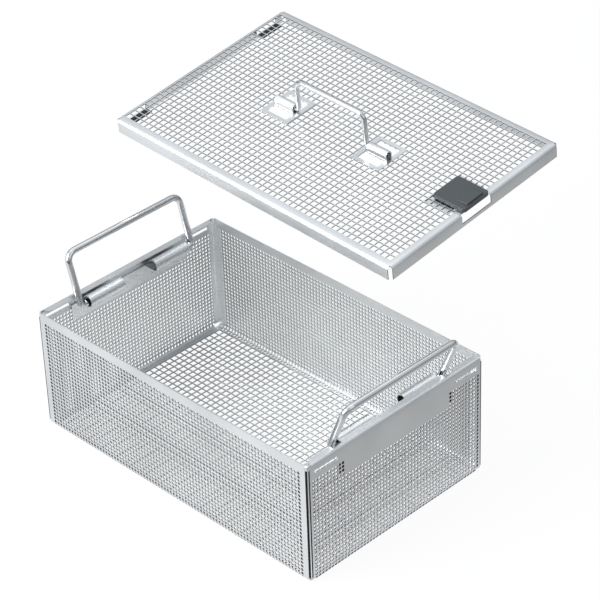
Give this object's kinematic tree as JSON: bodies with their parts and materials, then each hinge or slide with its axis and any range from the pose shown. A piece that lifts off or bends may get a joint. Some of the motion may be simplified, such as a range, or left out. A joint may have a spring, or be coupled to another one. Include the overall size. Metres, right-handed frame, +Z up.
{
  "type": "sterilization basket",
  "caption": "Perforated steel instrument basket with wire handles and a lid held above it, with a swinging lid handle and a sliding latch.",
  "frame": {"origin": "centre of the basket's underside", "axes": "+X along the length towards the latch, +Y along the width, +Z up"},
  "size_m": [0.3147, 0.2908, 0.2147],
  "materials": {
    "perforated_steel": "satin, perforated sheet",
    "plain_steel": "satin, plain sheet",
    "wire_steel": "polished round wire",
    "dark_plastic": "dark grey, matte"
  },
  "bodies": {
    "basket": {"floor_sheet": "perforated_steel", "front_wall": "perforated_steel", "back_wall": "perforated_steel", "left_end_wall": "perforated_steel", "right_end_wall": "perforated_steel", "corner_front_left": "plain_steel", "corner_front_right": "plain_steel", "corner_back_left": "plain_steel", "corner_back_right": "plain_steel", "left_handle_bracket": "plain_steel", "right_handle_bracket": "plain_steel"},
    "left_bail": {"left_handle": "wire_steel"},
    "right_bail": {"right_handle": "wire_steel"},
    "lid": {"lid_sheet": "perforated_steel", "lid_eye_plate_left": "plain_steel", "lid_eye_plate_right": "plain_steel", "latch_guide": "plain_steel", "latch_spring": "plain_steel"},
    "lid_bail": {"lid_handle": "wire_steel"},
    "latch": {"latch_button": "dark_plastic", "latch_bolt": "plain_steel", "latch_rivets": "wire_steel"}
  },
  "joints": [
    {"name": "left_handle_pivot", "type": "hinge", "parent": "basket", "child": "left_bail", "pos_m": [-0.1208, 0, 0.0883], "axis": [0, 1, 0], "range_deg": [-18.2, 201]},
    {"name": "right_handle_pivot", "type": "hinge", "parent": "basket", "child": "right_bail", "pos_m": [0.1208, 0, 0.0883], "axis": [0, -1, 0], "range_deg": [-11.5, 208]},
    {"name": "lid_lift", "type": "slide", "parent": "basket", "child": "lid", "axis": [0, 0, 1], "range_m": [0, 0.06]},
    {"name": "lid_handle_pivot", "type": "hinge", "parent": "lid", "child": "lid_bail", "pos_m": [-0.04292, 0.1212, 0.18677], "axis": [0.999, 0.0055, -0.0436], "range_deg": [-93, 93]},
    {"name": "latch_slide", "type": "slide", "parent": "lid", "child": "latch", "axis": [0.999, 0.0055, -0.0436], "range_m": [0, 0.0055]}
  ]
}
